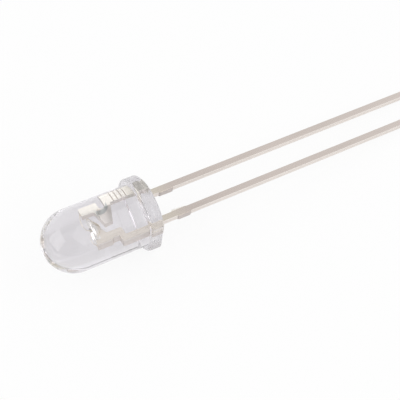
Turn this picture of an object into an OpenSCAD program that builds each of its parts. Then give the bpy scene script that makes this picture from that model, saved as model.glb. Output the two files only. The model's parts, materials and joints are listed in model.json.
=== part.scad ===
// Through hole LED in a clear round package, lying on the rim of its flange and the tips of its leads.
// Each piece is drawn standing, with the seat at height 0, the dome up and the leads down:
// X is the normal of the lead frame's sheet and +Y is the anode's side. rest() then lays it down.

/* [Lens] */
// Diameter of the barrel and the dome
lens_d = 5.0; // [4.6:0.1:6]
// Height from the seat to the tip of the dome
lens_h = 8.8; // [8.2:0.1:11]
// How far the flange stands out of the barrel
flange_out = 0.45; // [0.4:0.05:1]
// Thickness of the flange
flange_t = 1.1; // [0.7:0.1:1.4]
// Rounding of the flange's two rims
flange_r = 0.2; // [0.1:0.02:0.28]
// How far the flat that marks the cathode stands out of the barrel
flat_out = 0.1; // [0.04:0.01:0.3]
// Rounding of that flat's two long edges
flat_r = 0.15; // [0.05:0.01:0.25]
// Width of the flat ring that the hollow in the seat leaves
seat_ring = 0.7; // [0.5:0.05:0.9]
// Depth of that hollow
dish_depth = 0.12; // [0.05:0.01:0.2]

/* [Leads] */
// Spacing of the two leads
pitch = 2.54; // [2.3:0.02:2.8]
// Width of a lead across the sheet
lead_w = 0.5; // [0.4:0.02:0.6]
// Thickness of the sheet that the lead frame is stamped from
sheet_t = 0.5; // [0.4:0.02:0.6]
// Length of the cathode lead below the seat
cathode_len = 25.5; // [18:0.5:31]
// How much longer the anode lead is
anode_extra = 1.5; // [0.5:0.5:3]

/* [Tie bar stubs] */
// Distance from the seat to the stubs that the cut tie bar leaves between the two leads
stub_at = 1.5; // [1:0.1:3]
// Length of those stubs along the lead
stub_len = 1.35; // [0.8:0.05:2]
// How far a stub stands out of its lead
stub_out = 0.1; // [0.06:0.01:0.2]
// How much the cut through the cathode's inner stub slants, from end to end
stub_skew = 0.1; // [0:0.01:0.1]
// How much further from the seat the cathode's outer stub starts
outer_stub_shift = 0.3; // [0:0.05:0.5]
// Length of that outer stub
outer_stub_len = 1.25; // [0.8:0.05:2]

/* [Lead frame heads] */
// Height at which each lead ends in a shoulder
shoulder = 3.2; // [2.9:0.05:3.4]
// Height of the anvil's waist above the shoulder
waist_h = 0.85; // [0.75:0.05:1]
// Height of the anvil above its waist
anvil_h = 1.0; // [0.9:0.05:1.2]
// Width of the cathode's waist
waist_w = 0.47; // [0.4:0.01:0.6]
// Width of the land beside the cup, where the cathode's wire ends
land_w = 0.32; // [0.28:0.01:0.5]
// Thickness of the anvil's wing at its tip
wing_t = 0.2; // [0.15:0.01:0.3]
// Width of the anode post's head
post_w = 0.4; // [0.3:0.01:0.45]
// How far the post stands above the anvil
post_over = 0.15; // [0:0.05:0.4]
// Height of the notch above a shoulder, which locks the frame into the epoxy
notch_h = 0.52; // [0.4:0.02:0.6]
// How far inwards of its lead's outer side each notch reaches
notch_in = 0.6; // [0.5:0.02:0.64]
// Clear gap between the anvil's wing and the anode's head
wing_gap = 0.14; // [0.1:0.01:0.2]
// Clear gap between the cathode's waist and the anode's flag
flag_gap = 0.55; // [0.4:0.01:0.7]

/* [Grip grooves] */
// Number of grooves across the anode inside the lens
groove_count = 4; // [0:1:5]
// Spacing of the grooves
groove_pitch = 0.36; // [0.3:0.01:0.42]
// Height of the lowest groove
groove_from = 1.3; // [1.1:0.05:1.4]
// Depth of a groove
groove_depth = 0.05; // [0.02:0.01:0.1]
// Depth of the broad hollow coined into both faces of the anode's flag
coin_depth = 0.1; // [0.04:0.01:0.14]
// Length of that hollow along the lead
coin_len = 1.2; // [0.9:0.05:1.3]

/* [Cup and chip] */
// Diameter of the reflector cup at its rim
cup_d = 1.0; // [0.9:0.02:1.1]
// Diameter of the cup's floor
cup_floor_d = 0.56; // [0.5:0.02:0.64]
// Depth of the cup
cup_depth = 0.4; // [0.3:0.02:0.5]
// Thickness of the cup's wall at the rim
cup_wall = 0.2; // [0.14:0.01:0.24]
// Rounding of the rim's outer edge
cup_r = 0.1; // [0.04:0.01:0.12]
// Thickness of metal under the cup's floor
cup_base = 0.35; // [0.25:0.05:0.4]
// Side of the square chip
chip_w = 0.3; // [0.24:0.01:0.34]
// Thickness of the chip
chip_t = 0.1; // [0.08:0.01:0.15]
// Thickness of the adhesive under the chip
glue_t = 0.02; // [0.01:0.005:0.03]
// Diameter of the drop of adhesive
glue_d = 0.45; // [0.42:0.01:0.5]

/* [Bond wires] */
// Diameter of the gold wire
wire_d = 0.025; // [0.02:0.005:0.05]
// Diameter of the ball that starts a wire
ball_d = 0.08; // [0.07:0.005:0.1]
// Height of the ball
ball_t = 0.03; // [0.02:0.005:0.04]
// Length of the flattened stitch that ends a wire
stitch_len = 0.12; // [0.1:0.01:0.16]
// How far a wire rises above its higher end
loop_rise = 0.3; // [0.2:0.05:0.5]

/* [Hidden] */
$fn = 64;

lens_r = lens_d / 2;
flange_rad = lens_r + flange_out;
flat_at = lens_r + flat_out;
dish_r = flange_rad - flange_r - seat_ring;
dish_ball = (dish_r * dish_r + dish_depth * dish_depth) / (2 * dish_depth);
dish_fn = 360;
anode_len = cathode_len + anode_extra;

// Sides of the two leads, and the notch above each shoulder
lead_y = pitch / 2;
outer_y = lead_y + lead_w / 2;
inner_y = lead_y - lead_w / 2;
notch_y = outer_y - notch_in;
notch_top = shoulder + notch_h;
shoulder_drop = 0.12;
heel = shoulder - lead_w;
heel_rise = 0.12;
corner_r = 0.08;

// Heights of the heads
waist_top = shoulder + waist_h;
anvil_top = waist_top + anvil_h;
post_top = anvil_top + post_over;
cup_floor = anvil_top - cup_depth;
chip_z = cup_floor + glue_t;
chip_top = chip_z + chip_t;

// Across the frame: the cup is on the lens's axis, with the land on one side of it, and the wing, the
// gap and the anode's head on the other
cup_out = cup_d / 2 + cup_wall;
cup_band = 0.2;
anvil_out = cup_out + land_w;
anvil_lip = 0.1;
wing_lip = 0.03;
wing_y = cup_out + wing_lip;
post_in = wing_y + wing_gap;
post_out = post_in + post_w;
waist_y = waist_w - notch_y;

// The anode's flag points at the cathode's waist
flag_tip = waist_y + flag_gap;
flag_drop = 0.2;
flag_top = waist_top - flag_drop;
flag_slope = 0.35;
coin_mid = (heel + waist_top) / 2;
coin_r = (coin_len * coin_len / 4 + coin_depth * coin_depth) / (2 * coin_depth);
coin_fn = 240;

// The grooves run past both sides of the lead by this much, and other cuts by cut_over
groove_over = 0.05;
cut_over = 1;

tip_bevel = 0.12;
stub_slope = 0.12;

// Bond wires: the ball sits this far from the middle of the chip, on its contact pad
pad_y = 0.085;
ball_sink = 0.012;
stitch_sink = 0.006;
loop_pull = 1.3;
loop_lean = 0.35;
wire_steps = 16;
wire_sides = 8;

// ---- resting pose: the flange's rim and the lowest corner of each lead's tip touch the floor
function low_corner(roll) = inner_y * sin(roll) - sheet_t / 2 * cos(roll);
function pitch_for(roll) =
    let (a = anode_len + flange_r, b = flange_rad - flange_r + low_corner(roll))
    atan2(b, a) + asin(flange_r / norm([a, b]));
function roll_for(tilt) = asin((anode_len - cathode_len) * tan(tilt) / pitch);
function settled_roll(roll, turns) = turns == 0 ? roll : settled_roll(roll_for(pitch_for(roll)), turns - 1);
settle_turns = 6;
rest_roll = settled_roll(0, settle_turns);
rest_tilt = pitch_for(rest_roll);

module rest() {
    rotate([0, rest_tilt, 0]) rotate([rest_roll, 0, 0]) rotate([0, -90, 0]) children();
}

// ---- outlines with rounded corners: each point is [x, y] or [x, y, radius], and an arc takes at most
// arc_share of the shorter side beside it
arc_share = 0.48;
function unit(v) = v / norm(v);
function xy(p) = [p[0], p[1]];
function arc_at(before, corner, after, wish, steps) =
    let (
        a = unit(xy(before) - xy(corner)),
        b = unit(xy(after) - xy(corner)),
        half = acos(a * b) / 2,
        room = min(norm(xy(before) - xy(corner)), norm(xy(after) - xy(corner))) * arc_share,
        reach = min(wish / tan(half), room),
        r = reach * tan(half),
        centre = xy(corner) + unit(a + b) * r / sin(half),
        from = xy(corner) + a * reach - centre,
        to = xy(corner) + b * reach - centre,
        start = atan2(from[1], from[0]),
        turn = atan2(to[1], to[0]) - start,
        sweep = turn > 180 ? turn - 360 : turn < -180 ? turn + 360 : turn
    )
    [for (i = [0:steps]) centre + r * [cos(start + sweep * i / steps), sin(start + sweep * i / steps)]];
function rounded(points, steps = 5) =
    let (n = len(points))
    [for (i = [0:n - 1])
        each is_undef(points[i][2])
            ? [points[i]]
            : arc_at(points[(i + n - 1) % n], points[i], points[(i + 1) % n], points[i][2], steps)];

// Stands a flat outline of (Y, height) up as sheet metal
module sheet() {
    rotate([90, 0, 90]) linear_extrude(sheet_t, center = true) children();
}

// A stub on one side of a lead, listed away from the seat: how far it stands out at its two ends, where
// it starts and how long it is. The anode's outer side has none, because the press cut it flush.
function stub(side, out_near, out_far, start, reach) = [
    [side, -start],
    [side + out_near, -start - stub_slope],
    [side + out_far, -start - reach + stub_slope],
    [side, -start - reach],
];
inner_stub = stub(lead_w / 2, stub_out, stub_out, stub_at, stub_len);
skewed_stub = stub(lead_w / 2, stub_out + stub_skew / 2, stub_out - stub_skew / 2, stub_at, stub_len);
outer_stub = stub(lead_w / 2, stub_out, stub_out, stub_at + outer_stub_shift, outer_stub_len);

// A lead's outline: down its -Y side, round its bevelled tip and up its +Y side
function lead_run(y, length, minus_stub, plus_stub) = concat(
    [for (p = minus_stub) [y - p[0], p[1]]],
    [[y - lead_w / 2, tip_bevel - length], [y - lead_w / 2 + tip_bevel, -length]],
    [[y + lead_w / 2 - tip_bevel, -length], [y + lead_w / 2, tip_bevel - length]],
    [for (i = [len(plus_stub) - 1:-1:0]) [y + plus_stub[i][0], plus_stub[i][1]]]
);

// Cathode: the lead steps inwards at its notch and widens into the anvil that carries the cup
module cathode_outline() {
    polygon(rounded(concat(
        [
            [wing_y, anvil_top, corner_r],
            [-anvil_out, anvil_top, corner_r],
            [-anvil_out, notch_top + anvil_lip, corner_r],
            [-notch_y, notch_top],
            [-notch_y, shoulder, corner_r],
            [-outer_y, shoulder - shoulder_drop, corner_r],
        ],
        lead_run(-lead_y, cathode_len, outer_stub, skewed_stub),
        [
            [-inner_y, heel, corner_r],
            [waist_y, heel + heel_rise, 2 * corner_r],
            [waist_y, waist_top, 3 * corner_r],
            [wing_y, anvil_top - wing_t, corner_r],
        ]
    )));
}

// Anode: a shoulder, a notch, the head for the wire, and the flag that points at the anvil's waist
module anode_outline() {
    polygon(rounded(concat(
        [
            [post_out, post_top, corner_r],
            [post_in, post_top, corner_r],
            [post_in, flag_top + flag_slope, 3 * corner_r],
            [flag_tip, flag_top, corner_r],
            [flag_tip, shoulder, 2 * corner_r],
            [inner_y, heel, corner_r],
        ],
        lead_run(lead_y, anode_len, inner_stub, []),
        [
            [outer_y, shoulder, corner_r],
            [notch_y, shoulder, 1.5 * corner_r],
            [notch_y, notch_top, 1.5 * corner_r],
            [post_out, notch_top, corner_r],
        ]
    )));
}

// The cup bulges out of both faces of the sheet, with a straight band and a rounded rim at the top
module cup_skirt() {
    translate([0, 0, anvil_top]) rotate_extrude() polygon(rounded([
        [0, -cup_depth - cup_base],
        [sheet_t / 2, -cup_depth - cup_base],
        [cup_out, -cup_band],
        [cup_out, 0, cup_r],
        [0, 0],
    ]));
}

module cup_hollow() {
    slope = (cup_d - cup_floor_d) / 2 / cup_depth;
    translate([0, 0, cup_floor]) {
        cylinder(h = cup_depth + cut_over, r1 = cup_floor_d / 2, r2 = cup_d / 2 + slope * cut_over);
    }
}

// One V groove across both faces of the anode's sheet
module groove(z) {
    for (side = [-1, 1])
        translate([side * sheet_t / 2, lead_y, z]) rotate([0, 45, 0])
            cube([groove_depth * sqrt(2), lead_w + 2 * groove_over, groove_depth * sqrt(2)], center = true);
}

// The flag's faces are pressed hollow, so that the epoxy grips it
module coined_hollow() {
    for (side = [-1, 1])
        translate([side * (sheet_t / 2 - coin_depth + coin_r), notch_y, coin_mid]) rotate([90, 0, 0])
            cylinder(h = notch_y - flag_tip + cut_over, r = coin_r, $fn = coin_fn);
}

module cathode_solid() {
    difference() {
        union() {
            sheet() cathode_outline();
            cup_skirt();
        }
        cup_hollow();
    }
}

module anode_solid() {
    difference() {
        sheet() anode_outline();
        for (i = [0:1:groove_count - 1]) groove(groove_from + i * groove_pitch);
        coined_hollow();
    }
}

module chip_solid() {
    translate([-chip_w / 2, -chip_w / 2, chip_z]) cube([chip_w, chip_w, chip_t]);
}

module glue_solid() {
    translate([0, 0, cup_floor]) cylinder(h = glue_t, d = glue_d);
}

// ---- bond wires: a ball on the chip, a loop over the cup's rim, and a stitch on the frame
function bezier(p, t) =
    let (s = 1 - t)
    s * s * s * p[0] + 3 * s * s * t * p[1] + 3 * s * t * t * p[2] + t * t * t * p[3];
function tangent(p, t) =
    let (s = 1 - t)
    3 * s * s * (p[1] - p[0]) + 6 * s * t * (p[2] - p[1]) + 3 * t * t * (p[3] - p[2]);
function ring(centre, along, r) =
    let (across = unit([-along[1], along[0]]))
    [for (i = [0:wire_sides - 1])
        let (a = 360 * i / wire_sides)
        [r * sin(a), centre[0] + r * cos(a) * across[0], centre[1] + r * cos(a) * across[1]]];

// Wire in the plane of the sheet's middle, from a ball at (y, z) to a stitch at (y, z)
module wire_solid(ball, stitch) {
    r = wire_d / 2;
    start = ball + [0, ball_t - ball_sink];
    end = stitch + [0, r - stitch_sink];
    peak = max(ball[1], stitch[1]) + loop_rise * loop_pull;
    path = [start, [start[0], peak], [end[0] - loop_lean * (end[0] - start[0]), peak], end];
    rings = [for (i = [0:wire_steps]) ring(bezier(path, i / wire_steps), tangent(path, i / wire_steps), r)];
    last = wire_steps * wire_sides;
    union() {
        polyhedron(
            points = [for (each_ring = rings) each each_ring],
            faces = concat(
                [[for (i = [wire_sides - 1:-1:0]) i]],
                [for (k = [0:wire_steps - 1], i = [0:wire_sides - 1])
                    let (j = (i + 1) % wire_sides, a = k * wire_sides, b = a + wire_sides)
                    [a + i, a + j, b + j, b + i]],
                [[for (i = [0:wire_sides - 1]) last + i]]
            )
        );
        translate([0, ball[0], ball[1]]) cylinder(h = ball_t, d = ball_d);
        translate([-wire_d, stitch[0] - stitch_len / 2, stitch[1]]) cube([2 * wire_d, stitch_len, r]);
    }
}

module anode_wire_solid() {
    wire_solid([pad_y, chip_top], [(post_in + post_out) / 2, post_top]);
}

module cathode_wire_solid() {
    wire_solid([-pad_y, chip_top], [-cup_out - land_w / 2, anvil_top]);
}

// ---- lens: barrel, dome and flange as one casting, poured round the frame
module barrel_profile() {
    square([lens_r, lens_h - lens_r]);
    intersection() {
        translate([0, lens_h - lens_r]) circle(lens_r);
        square([lens_r, lens_h]);
    }
}

module flange_profile() {
    square([flange_rad - flange_r, flange_t]);
    translate([0, flange_r]) square([flange_rad, flange_t - 2 * flange_r]);
    for (z = [flange_r, flange_t - flange_r])
        translate([flange_rad - flange_r, z]) circle(flange_r);
}

// What the flat takes off the flange: all that lies past it, and its two sharp edges
module flat_waste() {
    rotate([90, 0, 90]) linear_extrude(2 * flange_rad, center = true) difference() {
        translate([-flange_rad - cut_over, -cut_over])
            square([flange_rad + cut_over - flat_at + flat_r, flange_t + 2 * cut_over]);
        translate([-flat_at, flat_r]) square([2 * flat_r, flange_t - 2 * flat_r]);
        for (z = [flat_r, flange_t - flat_r])
            translate([-flat_at + flat_r, z]) circle(flat_r);
    }
}

module casting() {
    rotate_extrude() barrel_profile();
    difference() {
        rotate_extrude() flange_profile();
        flat_waste();
    }
}

module lens_solid() {
    difference() {
        casting();
        translate([0, 0, dish_depth - dish_ball]) sphere(dish_ball, $fn = dish_fn);
        cathode_solid();
        anode_solid();
        chip_solid();
        glue_solid();
        anode_wire_solid();
        cathode_wire_solid();
    }
}

// ---- nodes, in their resting pose
module lens() {
    color([0.86, 0.87, 0.88, 0.4]) rest() lens_solid();
}

module cathode_frame() {
    color([0.80, 0.77, 0.73]) rest() cathode_solid();
}

module anode_frame() {
    color([0.84, 0.81, 0.77]) rest() anode_solid();
}

module led_chip() {
    color([0.72, 0.76, 0.80]) rest() chip_solid();
}

module die_attach() {
    color([0.90, 0.89, 0.84]) rest() glue_solid();
}

module anode_wire() {
    color([0.86, 0.68, 0.28]) rest() anode_wire_solid();
}

module cathode_wire() {
    color([0.86, 0.68, 0.28]) rest() cathode_wire_solid();
}

lens();
cathode_frame();
anode_frame();
led_chip();
die_attach();
anode_wire();
cathode_wire();
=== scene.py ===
# %% [markdown]
# # A clear through hole LED
# An LED like this is one drop of clear epoxy, cast round a lead frame that was stamped from sheet metal.
# The leads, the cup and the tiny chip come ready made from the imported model. What is left for Blender is
# the look: a lens smooth enough to bend light properly, plating that differs inside and outside the
# casting, and light that is soft enough to show both.

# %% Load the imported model
import json
import math

import bpy
from mathutils import Matrix, Vector


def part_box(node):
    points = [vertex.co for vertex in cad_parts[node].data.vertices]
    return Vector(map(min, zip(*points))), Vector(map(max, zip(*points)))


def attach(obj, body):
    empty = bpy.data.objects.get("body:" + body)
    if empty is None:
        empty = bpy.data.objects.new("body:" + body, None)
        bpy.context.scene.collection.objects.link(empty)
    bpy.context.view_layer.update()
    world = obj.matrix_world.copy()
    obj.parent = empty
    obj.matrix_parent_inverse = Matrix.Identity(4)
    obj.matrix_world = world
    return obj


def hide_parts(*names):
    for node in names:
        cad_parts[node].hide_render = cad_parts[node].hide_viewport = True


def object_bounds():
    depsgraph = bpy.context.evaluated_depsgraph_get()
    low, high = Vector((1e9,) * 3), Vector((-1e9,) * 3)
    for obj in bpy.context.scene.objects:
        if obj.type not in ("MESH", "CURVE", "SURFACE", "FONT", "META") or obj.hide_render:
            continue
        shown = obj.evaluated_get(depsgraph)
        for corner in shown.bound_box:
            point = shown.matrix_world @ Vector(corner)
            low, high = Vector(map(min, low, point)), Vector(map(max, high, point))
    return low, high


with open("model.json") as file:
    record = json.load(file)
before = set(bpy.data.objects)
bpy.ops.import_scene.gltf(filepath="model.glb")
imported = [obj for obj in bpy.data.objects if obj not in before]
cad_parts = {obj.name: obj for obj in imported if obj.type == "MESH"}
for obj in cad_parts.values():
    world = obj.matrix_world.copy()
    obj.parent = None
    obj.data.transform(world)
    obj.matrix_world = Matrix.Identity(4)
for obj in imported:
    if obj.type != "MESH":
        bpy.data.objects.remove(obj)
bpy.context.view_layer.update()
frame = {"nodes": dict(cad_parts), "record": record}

print("packed nodes:", ", ".join(sorted(frame["nodes"])))

# %% [markdown]
# ## The LED's own axes
# The LED lies on its side, so its lens points along no axis of the scene. It is far easier to model a
# lens that stands upright on its seat, and to lay the finished mesh down at the end. The record says
# where the seat and the two leads are, and three directions follow from them: the normal of the sheet
# metal, across from the cathode to the anode, and up to the tip of the dome.

# %% Axes of the standing LED
MM = 0.001


def mount(name):
    """One of the record's mounts: a place where the LED meets something else."""
    return next(m for m in frame["record"]["mounts"] if m["name"] == name)


def lead_tip(name):
    """The middle of the end of a lead, where its mount is."""
    return Vector(mount(name)["pos_m"])


seat = Vector(mount("seating_face")["pos_m"])
to_dome = -Vector(mount("seating_face")["axis"]).normalized()
between_tips = lead_tip("anode_lead") - lead_tip("cathode_lead")
to_anode = (between_tips - between_tips.dot(to_dome) * to_dome).normalized()
sheet_normal = to_anode.cross(to_dome)
lying = Matrix((sheet_normal, to_anode, to_dome)).transposed().to_4x4()
lying.translation = seat
standing = lying.inverted()
print("the dome points along", [round(c, 3) for c in to_dome])

# %% [markdown]
# ## The camera
# A long lens from a little way off keeps the leads nearly parallel, as in a catalogue. The camera looks
# down on the LED from in front of the cathode's side.

# %% Camera
CAMERA_AZIMUTH = math.radians(29.897)
CAMERA_HEIGHT = math.radians(54.935)
CAMERA_DISTANCE = 85.4 * MM
AIM_RIGHT = 4.053 * MM
AIM_UP = 0.815 * MM
FILM_WIDTH = 36
FOCAL_LENGTH = 99.68
SEES_FROM = 1 * MM
SEES_TO = 10

forward = Vector((
    math.sin(CAMERA_AZIMUTH) * math.cos(CAMERA_HEIGHT),
    math.cos(CAMERA_AZIMUTH) * math.cos(CAMERA_HEIGHT),
    -math.sin(CAMERA_HEIGHT),
))
right = Vector((math.cos(CAMERA_AZIMUTH), -math.sin(CAMERA_AZIMUTH), 0))
above = right.cross(forward)

bpy.ops.object.camera_add()
camera = bpy.context.object
camera.name = "camera"
camera.matrix_world = Matrix((right, above, -forward)).transposed().to_4x4()
camera.location = right * AIM_RIGHT + above * AIM_UP - forward * CAMERA_DISTANCE
camera.data.sensor_width = FILM_WIDTH
camera.data.lens = FOCAL_LENGTH
camera.data.clip_start = SEES_FROM
camera.data.clip_end = SEES_TO
bpy.context.scene.camera = camera
print("camera at", [round(c / MM, 1) for c in camera.location], "mm")

# %% [markdown]
# ## The lens
# The real lens is poured: liquid epoxy fills a polished mould, so every face outside is smooth, and the
# seat sinks to a shallow dish as the epoxy shrinks. A lens bends what is seen through it, and any facet
# would show as a crease in the lead frame behind it. So the casting is turned, as on a lathe: a point is
# pushed along the straight stretches of an outline and spun round its corners, and the finished outline
# is spun once round the lens's axis. The flange and the barrel are turned apart, because the flange has
# a flat on the cathode's side, and are joined into one casting afterwards.

# %% Sizes of the casting
def standing_corners(name):
    """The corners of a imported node's mesh, as they lie when the LED stands on its seat."""
    return [standing @ v.co for v in frame["nodes"][name].data.vertices]


lens_corners = standing_corners("lens")
LENS_HEIGHT = max(c.z for c in lens_corners)
FLANGE_RADIUS = max(math.hypot(c.x, c.y) for c in lens_corners)
FLAT_AT = -min(c.y for c in lens_corners)
BARREL_RADIUS = mount("barrel")["dims"]["r_mm"] * MM
FLANGE_THICKNESS = (Vector(mount("flange_shoulder")["pos_m"]) - seat).length
RIM_ROUND = 0.2 * MM
FLAT_ROUND = 0.15 * MM
DISH_RADIUS = 2.05 * MM
DISH_DEPTH = 0.12 * MM
print("lens %.2f mm high, flange %.2f mm across" % (LENS_HEIGHT / MM, 2 * FLANGE_RADIUS / MM))

# %% Draw and turn an outline
START_SIZE = 0.1 * MM
MERGE_WITHIN = 0.0005 * MM


def deselect_everything():
    """Leaves edit mode and clears the selection, so that the next operator acts on nothing by chance."""
    if bpy.context.object and bpy.context.object.mode != "OBJECT":
        bpy.ops.object.mode_set(mode="OBJECT")
    bpy.ops.object.select_all(action="DESELECT")


def start_point(name, place):
    """A new mesh of one point: a small plane, merged into its middle and pushed to its place."""
    deselect_everything()
    bpy.ops.mesh.primitive_plane_add(size=START_SIZE, location=(0, 0, 0))
    piece = bpy.context.object
    piece.name = name
    bpy.ops.object.mode_set(mode="EDIT")
    bpy.ops.mesh.select_all(action="SELECT")
    bpy.ops.mesh.merge(type="CENTER")
    bpy.ops.transform.translate(value=place)
    return piece


def draw_to(here, there, stops=()):
    """Pushes the outline's end from here to there, with a point at each share of the way in stops."""
    last = Vector(here)
    for share in [*stops, 1]:
        stop = Vector(here).lerp(Vector(there), share)
        bpy.ops.mesh.extrude_region_move(TRANSFORM_OT_translate={"value": stop - last})
        last = stop
    return there


def draw_arc(here, centre, degrees, steps):
    """Spins the outline's end round a centre, anticlockwise where degrees is positive."""
    bpy.ops.mesh.spin(steps=steps, angle=math.radians(degrees), center=centre, axis=(0, 1, 0))
    turn = Matrix.Rotation(math.radians(degrees), 3, (0, -1, 0))
    return tuple(turn @ (Vector(here) - Vector(centre)) + Vector(centre))


def turn_outline(steps):
    """Spins the whole outline once round the lens's axis and closes the seam and the poles."""
    bpy.ops.mesh.select_all(action="SELECT")
    bpy.ops.mesh.spin(steps=steps, angle=2 * math.pi, center=(0, 0, 0), axis=(0, 0, 1))
    bpy.ops.mesh.select_all(action="SELECT")
    bpy.ops.mesh.remove_doubles(threshold=MERGE_WITHIN)
    bpy.ops.mesh.normals_make_consistent(inside=False)
    bpy.ops.object.mode_set(mode="OBJECT")


print("an outline starts as one point and is merged within %.4f mm" % (MERGE_WITHIN / MM))

# %% [markdown]
# ### The flange
# Its outline starts in the middle of the dished seat and ends in the middle of the upper side, which
# the barrel will cover. Each rim is a quarter circle. The flat stretches get a point just before and just
# after each curve, at a share of their length, which keeps their shading flat.

# %% Turn the flange
TURN_STEPS = 360
DISH_STEPS = 12
RIM_STEPS = 12
rim_middle = FLANGE_RADIUS - RIM_ROUND
dish_ball = (DISH_RADIUS**2 + DISH_DEPTH**2) / (2 * DISH_DEPTH)
dish_angle = math.degrees(math.asin(DISH_RADIUS / dish_ball))

lens = start_point("epoxy_lens", (0, 0, DISH_DEPTH))
end = draw_arc((0, 0, DISH_DEPTH), (0, 0, DISH_DEPTH - dish_ball), -dish_angle, DISH_STEPS)
end = draw_to(end, (rim_middle, 0, 0), (0.1, 0.9))
end = draw_arc(end, (rim_middle, 0, RIM_ROUND), 90, RIM_STEPS)
end = draw_to(end, (FLANGE_RADIUS, 0, FLANGE_THICKNESS - RIM_ROUND), (0.03, 0.97))
end = draw_arc(end, (rim_middle, 0, FLANGE_THICKNESS - RIM_ROUND), 90, RIM_STEPS)
end = draw_to(end, (0, 0, FLANGE_THICKNESS), (0.025, 0.2))
turn_outline(TURN_STEPS)
print("flange:", len(lens.data.polygons), "faces")

# %% [markdown]
# ### The flat
# A flat on the flange marks the cathode, so that the LED can be put in the right way round. Each ring
# of points is squeezed flat where it would stand out past the flat, and the rings of the two rims step
# back with their rounding, so the flat's own edges come out rounded too. The rings inside the rims step
# back half as far as they shrink, so that no two of them meet.

# %% Press the flat
# How closely the radii of points have to agree, in millimetres, for them to lie on one ring
RADIUS_DIGITS = 4
RING_WITHIN = 0.0002


def select_points(piece, wanted):
    """Selects the points of a mesh whose place passes a test, and nothing else, in edit mode."""
    bpy.ops.object.mode_set(mode="EDIT")
    bpy.ops.mesh.select_all(action="DESELECT")
    bpy.ops.mesh.select_mode(type="VERT")
    bpy.ops.object.mode_set(mode="OBJECT")
    for point in piece.data.vertices:
        point.select = wanted(point.co)
    bpy.ops.object.mode_set(mode="EDIT")


def ring_of(place):
    """The radius of the ring that a point of the flange lies on, in millimetres."""
    return math.hypot(place.x, place.y) / MM


def flat_limit(radius):
    """How far a ring of this radius may reach towards the cathode's side."""
    into_rim = (FLANGE_RADIUS - radius) / RIM_ROUND
    if into_rim <= 1:
        return FLAT_AT - into_rim * FLAT_ROUND
    return FLAT_AT - FLAT_ROUND - (rim_middle - radius) / 2


ring_radii = {round(ring_of(p.co), RADIUS_DIGITS) for p in lens.data.vertices}
for ring_radius in sorted(ring_radii):
    limit = flat_limit(ring_radius * MM)
    if ring_radius * MM <= limit:
        continue
    select_points(lens, lambda place: place.y < -limit and abs(ring_of(place) - ring_radius) < RING_WITHIN)
    bpy.ops.transform.resize(value=(1, 0, 1), center_override=(0, -limit, 0))
bpy.ops.object.mode_set(mode="OBJECT")
print("the flat is %.2f mm from the axis" % (FLAT_AT / MM))

# %% [markdown]
# ### The barrel and the dome
# The barrel starts inside the flange. The dome is half a ball of the barrel's radius. The two castings
# are then joined by a Boolean, which leaves one closed skin.

# %% Turn the barrel and join it to the flange
DOME_STEPS = 72
dome_base = LENS_HEIGHT - BARREL_RADIUS
foot = FLANGE_THICKNESS / 2

barrel = start_point("epoxy_barrel", (0, 0, foot))
end = draw_to((0, 0, foot), (BARREL_RADIUS, 0, foot))
end = draw_to(end, (BARREL_RADIUS, 0, dome_base), (0.3, 0.5, 0.75, 0.99))
end = draw_arc(end, (0, 0, dome_base), 90, DOME_STEPS)
turn_outline(TURN_STEPS)

deselect_everything()
bpy.context.view_layer.objects.active = lens
joint = lens.modifiers.new("join_barrel", "BOOLEAN")
joint.operation = "UNION"
joint.solver = "EXACT"
joint.object = barrel
bpy.ops.object.modifier_apply(modifier=joint.name)
bpy.data.objects.remove(barrel)
print("joined lens:", len(lens.data.polygons), "faces")

# %% [markdown]
# ### Smooth and laid down
# Smooth shading hides the facets, but the lens has true edges too, such as the step where the barrel
# meets the flange. So only faces that meet at a small angle are smoothed into each other. Then the lens
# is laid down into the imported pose, and its place is applied, so that the object itself stays at the
# origin and the patterns on it keep to the LED's axes.

# %% Smooth the lens and lay it down
SMOOTH_UNDER = math.radians(20)


def lay_down(piece):
    """Moves a piece that was modelled upright to where it lies, with its place in its mesh."""
    deselect_everything()
    piece.select_set(True)
    bpy.context.view_layer.objects.active = piece
    piece.matrix_world = lying @ piece.matrix_world
    bpy.ops.object.transform_apply(location=True, rotation=True, scale=True)


deselect_everything()
lens.select_set(True)
bpy.context.view_layer.objects.active = lens
bpy.ops.object.shade_smooth_by_angle(angle=SMOOTH_UNDER)
lay_down(lens)
lowest = min(v.co.z for v in lens.data.vertices)
print("the lens lies on its rim, %.3f mm below the middle of its seat" % ((seat.z - lowest) / MM))

# %% [markdown]
# ## Recipes for surfaces
# A procedural material works out its colour from where a point is on the piece. Here every pattern is
# laid out in millimetres along the LED's own axes, so a Mapping node turns the object's coordinates
# upright and scales them first. A few short helpers keep the node trees readable.

# %% Materials, nodes and links
def new_material(name):
    """A new material, with its tree of nodes and its shader."""
    material = bpy.data.materials.new(name)
    material.use_nodes = True
    return material, material.node_tree, material.node_tree.nodes["Principled BSDF"]


def add_node(tree, kind, **settings):
    """A new node. Settings are its properties; inputs go in by name afterwards."""
    node = tree.nodes.new(kind)
    for name, value in settings.items():
        setattr(node, name, value)
    return node


def feed(tree, source, target):
    """Joins a socket to an input, or writes a plain number or colour into it."""
    if isinstance(source, bpy.types.NodeSocket):
        tree.links.new(source, target)
    else:
        target.default_value = source


print("materials that came with the model:", len(bpy.data.materials))

# %% Sums, ramps and blends
def calc(tree, operation, a, b=0.0):
    """A sum, or another step of arithmetic, on sockets or plain numbers."""
    node = add_node(tree, "ShaderNodeMath", operation=operation)
    feed(tree, a, node.inputs[0])
    feed(tree, b, node.inputs[1])
    return node.outputs[0]


def times(tree, first, *others):
    """Multiplies masks and shares, so that the result shows only where every mask does."""
    product = first
    for factor in others:
        product = calc(tree, "MULTIPLY", product, factor)
    return product


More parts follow.
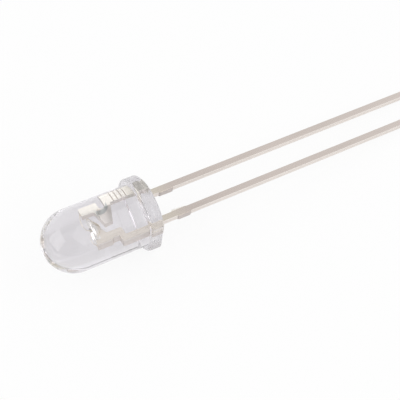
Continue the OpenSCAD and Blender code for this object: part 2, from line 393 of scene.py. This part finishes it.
def distance_off(tree, a, b):
    """How far off a point is that lies a to one side and b to the other."""
    return calc(tree, "SQRT", calc(tree, "ADD", times(tree, a, a), times(tree, b, b)))


def ramp(tree, value, start, end, at_start=0.0, at_end=1.0):
    """Goes smoothly from one value at the start to another at the end. The start may be the higher."""
    node = add_node(tree, "ShaderNodeMapRange", interpolation_type="SMOOTHSTEP")
    feed(tree, value, node.inputs["Value"])
    limits = {"From Min": start, "From Max": end, "To Min": at_start, "To Max": at_end}
    for name, number in limits.items():
        feed(tree, number, node.inputs[name])
    return node.outputs["Result"]


def blend(tree, share, a, b):
    """Colour a where the share is 0 and colour b where it is 1."""
    node = add_node(tree, "ShaderNodeMix", data_type="RGBA")
    feed(tree, share, node.inputs["Factor"])
    feed(tree, a, node.inputs["A"])
    feed(tree, b, node.inputs["B"])
    return node.outputs["Result"]


mask_helpers = (calc, times, distance_off, ramp, blend)
print("helpers for masks:", ", ".join(helper.__name__ for helper in mask_helpers))

# %% Places and patterns
def led_place(tree):
    """The place of a point in millimetres: across the sheet, towards the anode, and up to the dome."""
    place = add_node(tree, "ShaderNodeTexCoord")
    turn = add_node(tree, "ShaderNodeMapping", vector_type="POINT")
    turn.inputs["Rotation"].default_value = standing.to_euler("XYZ")
    turn.inputs["Scale"].default_value = (1 / MM, 1 / MM, 1 / MM)
    tree.links.new(place.outputs["Object"], turn.inputs["Vector"])
    return turn.outputs["Vector"]


def split(tree, vector):
    """The three parts of a place or a direction."""
    parts = add_node(tree, "ShaderNodeSeparateXYZ")
    tree.links.new(vector, parts.inputs[0])
    return parts.outputs[0], parts.outputs[1], parts.outputs[2]


def noise(tree, place, scale, stretch=(1, 1, 1), detail=3.0):
    """Soft random patches, about 1/scale mm across, drawn out along an axis where stretch is small."""
    pull = add_node(tree, "ShaderNodeMapping")
    pull.inputs["Scale"].default_value = stretch
    tree.links.new(place, pull.inputs["Vector"])
    cloud = add_node(tree, "ShaderNodeTexNoise")
    tree.links.new(pull.outputs["Vector"], cloud.inputs["Vector"])
    cloud.inputs["Scale"].default_value = scale
    cloud.inputs["Detail"].default_value = detail
    return cloud.outputs["Fac"]


def bump(tree, height, strength, depth):
    """Shades a surface as if it rose by this depth where height is 1, at a share of full strength."""
    node = add_node(tree, "ShaderNodeBump")
    node.inputs["Strength"].default_value = strength
    node.inputs["Distance"].default_value = depth
    tree.links.new(height, node.inputs["Height"])
    return node.outputs["Normal"]


turned = [round(math.degrees(a), 2) for a in standing.to_euler("XYZ")]
print("patterns are turned by", turned, "degrees to stand upright")

# %% [markdown]
# ## Clear epoxy
# Water clear epoxy is not quite clear: in a thick casting it is a very pale violet grey. It bends light a
# little more than glass does. The moulded faces are polished, so the roughness is zero. The seat was the
# open top of the mould: it is a little matte, with ripples where the epoxy set round the leads, and that
# softens all that the flange mirrors.

# %% Epoxy
EPOXY_TINT = (0.857, 0.836, 0.868, 1)
EPOXY_BENDING = 1.53
SEAT_ROUGHNESS = 0.08
SEAT_EDGE = (DISH_DEPTH / MM + 0.03, DISH_DEPTH / MM + 0.01)
RIPPLE_SCALE = 1.6
RIPPLE_DEPTH = 0.08 * MM


def clear_epoxy():
    material, tree, shader = new_material("clear_epoxy")
    shader.inputs["Base Color"].default_value = EPOXY_TINT
    shader.inputs["Transmission Weight"].default_value = 1
    shader.inputs["IOR"].default_value = EPOXY_BENDING
    place = led_place(tree)
    height = split(tree, place)[2]
    on_seat = ramp(tree, height, *SEAT_EDGE)
    tree.links.new(times(tree, on_seat, SEAT_ROUGHNESS), shader.inputs["Roughness"])
    ripples = times(tree, noise(tree, place, scale=RIPPLE_SCALE), on_seat)
    tree.links.new(bump(tree, ripples, strength=0.6, depth=RIPPLE_DEPTH), shader.inputs["Normal"])
    return material


lens.data.materials.append(clear_epoxy())
print("epoxy bends light", EPOXY_BENDING, "times")

# %% [markdown]
# ## Plated lead frame
# The strip is stamped, silver plated where the epoxy will cover it, and dipped in tin outside. So the
# heads are bright and a little creamy, and the leads are greyer, with a yellowish band close to the
# body, and duller still towards their tips. The two broad faces are rolled and smooth. The narrow sides
# were sheared by the press: a bright burnished band, then a rougher one where the metal tore. On top of
# that their colour is lifted well above the rolled faces' as a painted highlight, for the bright floor
# that they mirror. A material cannot know by itself where each of these belongs. So masks find the areas
# first, by height above the seat and by distance from the middle of the sheet and of the lead.

# %% Sizes and areas of the sheet
BELOW_STUBS = -20 * MM
anode_corners = standing_corners("anode_frame")
lead_end = [c for c in anode_corners if c.z < BELOW_STUBS]
SHEET_HALF = max(abs(c.x) for c in anode_corners) / MM
LEAD_HALF = (max(c.y for c in lead_end) - min(c.y for c in lead_end)) / 2 / MM
LEAD_AT = between_tips.dot(to_anode) / 2 / MM

# Each edge says, in millimetres, where an area starts and where it is full
TINNED = (0.15, -0.15)
PAST_YELLOW = (-0.8, -3.0)
DULL = (-8.0, -20.0)
SHEARED = (SHEET_HALF - 0.001, SHEET_HALF - 0.01)
TORN = (0.16, 0.1)
BESIDE_LEAD = (LEAD_HALF + 0.01, LEAD_HALF + 0.04)


def surface_areas(tree, place):
    """Masks for the sheet outside the casting, its sheared sides, their torn band, and the stubs."""
    across, along, height = split(tree, place)
    outside = ramp(tree, height, *TINNED)
    sheared = ramp(tree, calc(tree, "ABSOLUTE", across), *SHEARED)
    torn = ramp(tree, across, *TORN)
    from_lead = calc(tree, "ABSOLUTE", calc(tree, "SUBTRACT", calc(tree, "ABSOLUTE", along), LEAD_AT))
    on_stub = times(tree, outside, ramp(tree, from_lead, *BESIDE_LEAD))
    return {"outside": outside, "sheared": sheared, "torn": torn, "on_stub": on_stub}


print("the sheet is %.4f mm thick" % (2 * SHEET_HALF))
print("the leads are %.4f mm wide and stand %.4f mm apart" % (2 * LEAD_HALF, 2 * LEAD_AT))

# %% [markdown]
# ### The plating's colours
# The stubs stand where the tie bar was cut away after plating. Their cut sides are dull bare steel. On
# the cathode the tool left a burr on the face of the inner stub, and its glint is a painted highlight.
# Faint clouds over all of it keep the metal from looking dipped in one paint.

# %% Colours of the plating
WHITE_SILVER = (0.945, 0.93, 0.845, 1)
WARM_SILVER = (0.95, 0.90, 0.81, 1)
# Painted highlight: the sheared silver is lifted well above the rolled faces, for the bright floor it
# mirrors
SHEARED_SILVER_WITH_PAINTED_SHEEN = (0.99, 0.95, 0.89, 1)
TIN = (0.785, 0.70, 0.65, 1)
YELLOWED = (0.86, 0.79, 0.69, 1)
DULLED = (0.73, 0.655, 0.61, 1)
# Painted highlight: the sheared tin is lifted well above the rolled tin, for the bright floor it mirrors
SHEARED_TIN_WITH_PAINTED_SHEEN = (0.99, 0.93, 0.88, 1)
CUT_STEEL = (0.73, 0.675, 0.65, 1)
# Painted highlight, where the burr on the cathode's inner stub glints
PAINTED_BURR_HIGHLIGHT = (0.98, 0.95, 0.9, 1)
CLOUD = (0.5, 0.45, 0.4, 1)
TORN_SHARE = 0.35
CLOUD_SPAN = (0.45, 0.75)
CLOUD_SHARE = 0.1


def plating_colour(tree, place, areas, silver, is_anode):
    """Silver inside the casting and tin outside, on the rolled faces and on the sheared sides."""
    outside = areas["outside"]
    _, along, height = split(tree, place)
    tin = blend(tree, ramp(tree, height, *DULL), TIN, DULLED)
    tin = blend(tree, ramp(tree, height, *PAST_YELLOW), YELLOWED, tin)
    rolled = blend(tree, outside, silver, tin)
    if not is_anode:
        inwards = ramp(tree, along, -LEAD_AT, -LEAD_AT + LEAD_HALF)
        # Painted highlight of the burr on the face of the cathode's inner stub
        rolled = blend(tree, times(tree, areas["on_stub"], inwards), rolled, PAINTED_BURR_HIGHLIGHT)
    # The sheared sides' colours carry a painted highlight as well as their burnish
    sides = blend(tree, outside, SHEARED_SILVER_WITH_PAINTED_SHEEN, SHEARED_TIN_WITH_PAINTED_SHEEN)
    sides = blend(tree, times(tree, areas["torn"], TORN_SHARE), sides, TIN)
    sides = blend(tree, areas["on_stub"], sides, CUT_STEEL)
    colour = blend(tree, areas["sheared"], rolled, sides)
    clouds = noise(tree, place, scale=1.6, stretch=(1, 1, 0.25))
    return blend(tree, ramp(tree, clouds, *CLOUD_SPAN, 0.0, CLOUD_SHARE), colour, CLOUD)


print("the leads are dull from", -DULL[1], "mm below the seat")

# %% [markdown]
# ### Painted shade, stains and polish
# Beside the anode's notch the hollow in the flag is creased. The crease bends towards the dome, so it
# mirrors the dark roof, and that dark band is painted on as shade. The flag beyond it is faintly mottled,
# and the anode's foot is stained. The reflector cup is coined last, with a polished punch, so it is the
# brightest silver of all. A curve of height gives the crease its bend, and the cup's area is found by its
# distance from the lens's axis.

# %% Painted shade and stains on the anode
PAINTED_SHADE_AND_MOTTLE = (0.60, 0.625, 0.60, 1)
STAINED_SILVER = (0.76, 0.74, 0.655, 1)
CREASE_TOP = 3.9
CREASE_AT = 0.74
CREASE_BEND = 0.36
CREASE_EDGE = (0.16, 0.07)
HOLLOW_BOTTOM = (2.94, 3.08)
HOLLOW_TOP = (4.15, 4.0)
PAST_CREASE = (0.15, 0.3)
MOTTLE_SPAN = (0.45, 0.6)
MOTTLE_SHARE = 0.06
FOOT_BOTTOM = (0.55, 0.7)
FOOT_TOP = (1.3, 1.1)


def painted_crease_shade_and_stains(tree, place, colour):
    """Paints shade on the bent crease beside the anode's notch, mottles the flag beyond it, and stains the
    foot.
    """
    _, along, height = split(tree, place)
    from_top = calc(tree, "MAXIMUM", calc(tree, "SUBTRACT", CREASE_TOP, height), 0)
    bend = times(tree, calc(tree, "POWER", from_top, 3), CREASE_BEND)
    past_crease = calc(tree, "SUBTRACT", calc(tree, "ADD", bend, CREASE_AT), along)
    in_hollow = times(tree, ramp(tree, height, *HOLLOW_BOTTOM), ramp(tree, height, *HOLLOW_TOP))
    in_crease = ramp(tree, calc(tree, "ABSOLUTE", past_crease), *CREASE_EDGE)
    mottle = noise(tree, place, scale=5.0, stretch=(1, 1, 0.5))
    mottle = ramp(tree, mottle, *MOTTLE_SPAN, 0.0, MOTTLE_SHARE)
    on_flag = times(tree, ramp(tree, past_crease, *PAST_CREASE), mottle)
    # Painted shade along the crease, and a faint random mottle on the flag beyond it
    crease_shade_and_mottle = times(tree, in_hollow, calc(tree, "MAXIMUM", in_crease, on_flag))
    colour = blend(tree, crease_shade_and_mottle, colour, PAINTED_SHADE_AND_MOTTLE)
    foot = times(tree, ramp(tree, height, *FOOT_TOP), ramp(tree, height, *FOOT_BOTTOM))
    return blend(tree, foot, colour, STAINED_SILVER)


print("the crease runs from %.1f mm above the seat down to %.1f mm" % (CREASE_TOP, HOLLOW_BOTTOM[0]))

# %% Polish in the cup
CUP_SILVER = (0.99, 0.975, 0.935, 1)
chip_low, chip_high = (Vector(corner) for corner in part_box("led_chip"))
cup_middle = standing @ ((chip_low + chip_high) / 2) / MM
CUP_REACH = max(abs(c.x) for c in standing_corners("cathode_frame")) / MM
CUP_EDGE = (CUP_REACH + 0.05, CUP_REACH)
CUP_FLOOR = (cup_middle.z - 0.15, cup_middle.z - 0.05)


def polished_cup(tree, place, colour):
    """Brightens all of the cathode that lies over the cup's floor and within its rim."""
    across, along, height = split(tree, place)
    off_middle = distance_off(tree, across, calc(tree, "SUBTRACT", along, cup_middle.y))
    in_cup = times(tree, ramp(tree, off_middle, *CUP_EDGE), ramp(tree, height, *CUP_FLOOR))
    return blend(tree, in_cup, colour, CUP_SILVER)


print("the cup is %.2f mm across outside" % (2 * CUP_REACH))

# %% [markdown]
# ### Rolling and shearing marks
# Rolling leaves fine lines along the strip, and shearing leaves short ones across its sides, which are
# deepest on the stubs. They are far too fine to model, so they are a shallow bump, made of noise that is
# drawn out along one axis. The sides and the stubs are also a little rougher than the rolled faces.

# %% Finish both frames
ROLLED_ROUGHNESS = 0.24
SHEARED_ROUGHNESS = 0.3
STUB_ROUGHNESS = 0.3
ROLLED_MARKS = 0.2
SHEARED_MARKS = 0.5
STUB_MARKS = 1.5
MARK_DEPTH = 0.01 * MM


def tool_marks(tree, place, areas):
    """Lines along the sheet from rolling, and stronger ones across its sheared sides and its stubs."""
    drawn = noise(tree, place, scale=22.0, stretch=(1, 1, 0.06))
    grain = noise(tree, place, scale=30.0, stretch=(0.12, 1, 1))
    on_sides = times(tree, grain, areas["sheared"], SHEARED_MARKS)
    marks = calc(tree, "ADD", on_sides, times(tree, drawn, ROLLED_MARKS))
    return calc(tree, "ADD", marks, times(tree, areas["on_stub"], grain, STUB_MARKS))


def plated_sheet(name, silver, is_anode):
    material, tree, shader = new_material(name)
    place = led_place(tree)
    areas = surface_areas(tree, place)
    colour = plating_colour(tree, place, areas, silver, is_anode)
    last_touch = painted_crease_shade_and_stains if is_anode else polished_cup
    tree.links.new(last_touch(tree, place, colour), shader.inputs["Base Color"])
    shader.inputs["Metallic"].default_value = 1
    marks = tool_marks(tree, place, areas)
    tree.links.new(bump(tree, marks, strength=0.5, depth=MARK_DEPTH), shader.inputs["Normal"])
    rough = ramp(tree, areas["sheared"], 0.0, 1.0, ROLLED_ROUGHNESS, SHEARED_ROUGHNESS)
    rough = calc(tree, "ADD", rough, times(tree, areas["on_stub"], STUB_ROUGHNESS))
    tree.links.new(rough, shader.inputs["Roughness"])
    return material


def finish_node(node_name, material):
    """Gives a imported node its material, and no other."""
    frame["nodes"][node_name].data.materials.clear()
    frame["nodes"][node_name].data.materials.append(material)


finish_node("anode_frame", plated_sheet("anode_frame_plating", WHITE_SILVER, is_anode=True))
finish_node("cathode_frame", plated_sheet("cathode_frame_plating", WARM_SILVER, is_anode=False))
print("plated both frames")

# %% [markdown]
# ## Chip, adhesive and gold wire
# The chip is a speck of sapphire with two gold contact pads, glued down with clear adhesive. The wires
# are plain drawn gold. From here they are specks and hairs, but they are what shows first when someone
# looks down into the cup. Each gets one simple material, and one chip material holds both the sapphire
# and its pads, because the pads are far too thin to be pieces.

# %% Chip, adhesive and wire
PAD_AT = 0.085
PAD_RADIUS = 0.045
PAD_EDGE = (PAD_RADIUS * 1.05, PAD_RADIUS)
PAD_ROUGHNESS = 0.3
SAPPHIRE_ROUGHNESS = 0.08
SAPPHIRE = (0.46, 0.56, 0.62, 1)
PAD_GOLD = (0.95, 0.74, 0.36, 1)
CLEAR_GLUE = (0.86, 0.85, 0.8, 1)
CLOUDY_GLUE = (0.78, 0.76, 0.7, 1)
PALE_GOLD = (0.95, 0.86, 0.68, 1)
DEEP_GOLD = (0.92, 0.82, 0.62, 1)


def sapphire_chip():
    material, tree, shader = new_material("sapphire_chip")
    across, along, _ = split(tree, led_place(tree))
    from_pad = calc(tree, "SUBTRACT", calc(tree, "ABSOLUTE", along), PAD_AT)
    pad = ramp(tree, distance_off(tree, from_pad, across), *PAD_EDGE)
    tree.links.new(blend(tree, pad, SAPPHIRE, PAD_GOLD), shader.inputs["Base Color"])
    tree.links.new(pad, shader.inputs["Metallic"])
    rough = ramp(tree, pad, 0.0, 1.0, SAPPHIRE_ROUGHNESS, PAD_ROUGHNESS)
    tree.links.new(rough, shader.inputs["Roughness"])
    return material


def die_adhesive():
    material, tree, shader = new_material("die_adhesive")
    cloudy = noise(tree, led_place(tree), scale=9.0)
    colour = blend(tree, cloudy, CLEAR_GLUE, CLOUDY_GLUE)
    tree.links.new(colour, shader.inputs["Base Color"])
    shader.inputs["Roughness"].default_value = 0.25
    return material


def gold_wire():
    material, tree, shader = new_material("gold_wire")
    deep = noise(tree, led_place(tree), scale=12.0)
    colour = blend(tree, deep, PALE_GOLD, DEEP_GOLD)
    tree.links.new(colour, shader.inputs["Base Color"])
    shader.inputs["Metallic"].default_value = 1
    shader.inputs["Roughness"].default_value = 0.18
    return material


gold = gold_wire()
finish_node("led_chip", sapphire_chip())
finish_node("die_attach", die_adhesive())
finish_node("anode_wire", gold)
finish_node("cathode_wire", gold)
print("finished the inside of the cup")

# %% [markdown]
# ## Floor and backdrop
# A clear object shows whatever surrounds it, so the surroundings are its real material. It lies on a pale
# floor that takes its shadow. The camera is to see that floor as even white, with only part of the
# shadow, and so is the lens, where it bends or mirrors the floor. So the floor mixes a plain white
# surface with an even white glow, and a Light Path node says how much of the glow each ray gets.

# %% Floor
FLOOR_SIDE = 1.2
FLOOR_WHITE = 0.92
SHADOW_SEEN = 0.1
SHADOW_MIRRORED = 0.45
BENT_WHITE = 0.9
floor_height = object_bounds()[0].z


def glow_share(tree, path):
    """How much a ray sees of the even white glow: most of it straight from the camera, some of it where
    the ray was bent or mirrored on its way, and none of it for the light that falls on things."""
    bent = calc(tree, "MAXIMUM", path.outputs["Is Transmission Ray"], path.outputs["Is Glossy Ray"])
    bent_share = times(tree, bent, 1 - SHADOW_MIRRORED)
    camera_share = times(tree, path.outputs["Is Camera Ray"], 1 - SHADOW_SEEN)
    return calc(tree, "MAXIMUM", camera_share, bent_share)


def white_sweep():
    material, tree, shader = new_material("white_sweep")
    shader.inputs["Base Color"].default_value = (FLOOR_WHITE, FLOOR_WHITE, FLOOR_WHITE, 1)
    shader.inputs["Roughness"].default_value = 0.9
    shader.inputs["Specular IOR Level"].default_value = 0
    path = add_node(tree, "ShaderNodeLightPath")
    glow = add_node(tree, "ShaderNodeEmission")
    glow_level = ramp(tree, path.outputs["Is Camera Ray"], 0.0, 1.0, BENT_WHITE, 1.0)
    tree.links.new(glow_level, glow.inputs["Strength"])
    either = add_node(tree, "ShaderNodeMixShader")
    tree.links.new(glow_share(tree, path), either.inputs["Fac"])
    tree.links.new(shader.outputs[0], either.inputs[1])
    tree.links.new(glow.outputs[0], either.inputs[2])
    tree.links.new(either.outputs[0], tree.nodes["Material Output"].inputs["Surface"])
    return material


deselect_everything()
bpy.ops.mesh.primitive_plane_add(size=FLOOR_SIDE, location=(0, 0, floor_height))
floor = bpy.context.object
floor.name = "floor"
bpy.ops.object.transform_apply(location=True, rotation=True, scale=True)
floor.data.materials.append(white_sweep())
print("floor at %.3f mm" % (floor_height / MM))

# %% [markdown]
# ### The tent
# Clear things are lit in a white tent, so that everything they mirror is soft. The roof of this one is
# darker than its walls, and so is its mouth between the lamps, which gives the dome its dim waist. The
# walls are dimmer towards their skirting, and between it and the floor runs a narrow dark gap, which the
# lens bends into the thin dark line along its lower side. Walls could be modelled, but seen from
# something this small they are far away on all sides. So the tent is a world, whose brightness depends
# on the direction alone.

# %% Tent
WALL_LEVEL = 0.92
SKIRTING_LEVEL = 0.77
ROOF_LEVEL = 0.5
MOUTH_LEVEL = 0.45
GAP_LEVEL = 0.25

# Walls, roof and gap start and end at a rise, which is 0 at the floor and 1 straight up
WALL_RISE = (0.1, 0.6)
ROOF_RISE = (0.68, 0.9)
GAP_RISE = (0.054, 0.06)

# The mouth is a patch round one direction, and its edge is measured by a cosine
MOUTH_AZIMUTH = -42
MOUTH_HEIGHT = 35
MOUTH_EDGE = (0.75, 0.9)


def toward(azimuth, height):
    """A direction from the LED. Azimuth 0 is the -Y side and 90 is the side of the leads' tips."""
    turn = math.radians(azimuth)
    rise = math.radians(height)
    return Vector((math.sin(turn) * math.cos(rise), -math.cos(turn) * math.cos(rise), math.sin(rise)))


def white_tent():
    tent = bpy.data.worlds.new("white_tent")
    tent.use_nodes = True
    tree = tent.node_tree
    direction = add_node(tree, "ShaderNodeTexCoord").outputs["Generated"]
    rise = split(tree, direction)[2]
    wall = ramp(tree, rise, *WALL_RISE, SKIRTING_LEVEL, WALL_LEVEL)
    roof = ramp(tree, rise, *ROOF_RISE, 1.0, ROOF_LEVEL / WALL_LEVEL)
    gap = ramp(tree, calc(tree, "ABSOLUTE", rise), *GAP_RISE, GAP_LEVEL, 1.0)
    near_mouth = add_node(tree, "ShaderNodeVectorMath", operation="DOT_PRODUCT")
    tree.links.new(direction, near_mouth.inputs[0])
    near_mouth.inputs[1].default_value = toward(MOUTH_AZIMUTH, MOUTH_HEIGHT)
    mouth = ramp(tree, near_mouth.outputs["Value"], *MOUTH_EDGE, 1.0, MOUTH_LEVEL)
    camera_ray = add_node(tree, "ShaderNodeLightPath").outputs["Is Camera Ray"]
    level = calc(tree, "MAXIMUM", times(tree, wall, roof, gap, mouth), camera_ray)
    tree.nodes["Background"].inputs["Color"].default_value = (1, 1, 1, 1)
    tree.links.new(level, tree.nodes["Background"].inputs["Strength"])
    return tent


bpy.context.scene.world = white_tent()
print("walls at %.2f, roof at %.2f, mouth at %.2f of white" % (WALL_LEVEL, ROOF_LEVEL, MOUTH_LEVEL))

# %% [markdown]
# ### Two soft lamps
# One lamp hangs over the camera, where the anode's faces mirror it, and one stands beyond the dome and
# lights the cup. Both are large area lamps, because polished metal mirrors a lamp as it is, and a small
# one would leave only a dot of light on it.

# %% Soft lamps
def softbox(name, azimuth, height, distance, width, length, brightness):
    """A rectangular lamp that looks at the LED, as bright as the tent would be at that level."""
    bpy.ops.object.light_add(type="AREA", location=toward(azimuth, height) * distance)
    lamp = bpy.context.object
    lamp.name = name
    lamp.rotation_euler = (-lamp.location).to_track_quat("-Z", "Y").to_euler()
    lamp.data.shape = "RECTANGLE"
    lamp.data.size = width
    lamp.data.size_y = length
    lamp.data.energy = brightness * math.pi * width * length
    return lamp


softbox("lead_lamp", azimuth=42, height=53, distance=0.5, width=0.52, length=0.52, brightness=0.84)
softbox("dome_lamp", azimuth=-97, height=30, distance=0.5, width=0.46, length=0.44, brightness=1.5)

# %% [markdown]
# ### Light that is bent many times
# Light that enters the flange can be mirrored between its sides again and again before it gets out. Each
# time counts as a bounce, and light that reaches the limit turns black. So the limit is far above the
# usual one.

# %% Bounces of light
BOUNCES = 128
bpy.context.scene.cycles.max_bounces = BOUNCES
bpy.context.scene.cycles.transmission_bounces = BOUNCES
bpy.context.scene.cycles.glossy_bounces = BOUNCES
print("light may bounce", BOUNCES, "times")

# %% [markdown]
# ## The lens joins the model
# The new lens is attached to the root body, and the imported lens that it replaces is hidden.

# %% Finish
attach(lens, "root")
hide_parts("lens")
bpy.context.scene.view_settings.view_transform = "Standard"
